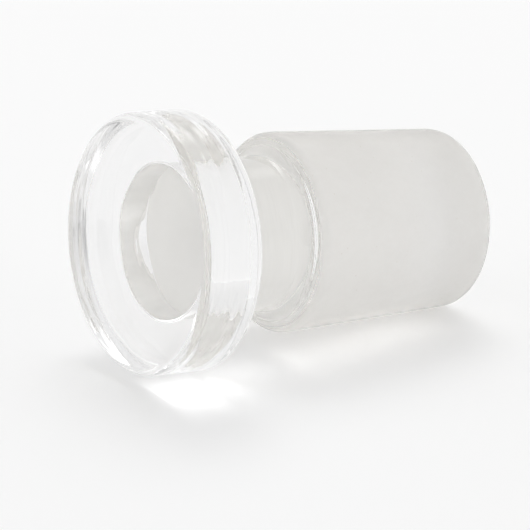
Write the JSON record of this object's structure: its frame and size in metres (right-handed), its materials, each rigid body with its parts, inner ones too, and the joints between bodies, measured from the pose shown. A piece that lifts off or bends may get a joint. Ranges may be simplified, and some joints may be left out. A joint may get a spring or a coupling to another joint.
{
  "type": "glass stopper",
  "caption": "Solid clear glass stopper with a flat disc head, a narrower neck and a ground conical plug that seals a tapered socket.",
  "frame": {"origin": "centre of the flat small end of the plug, on which the stopper stands", "axes": "+Z along the stopper's axis, from the plug's small end to the head; X and Y are any two directions square to it, because the form is round"},
  "size_m": [0.0376, 0.0376, 0.0544],
  "materials": {
    "glass": "clear and fire-polished on the head and neck, ground matt on the plug"
  },
  "bodies": {
    "root": {"stopper": "glass"}
  },
  "joints": []
}
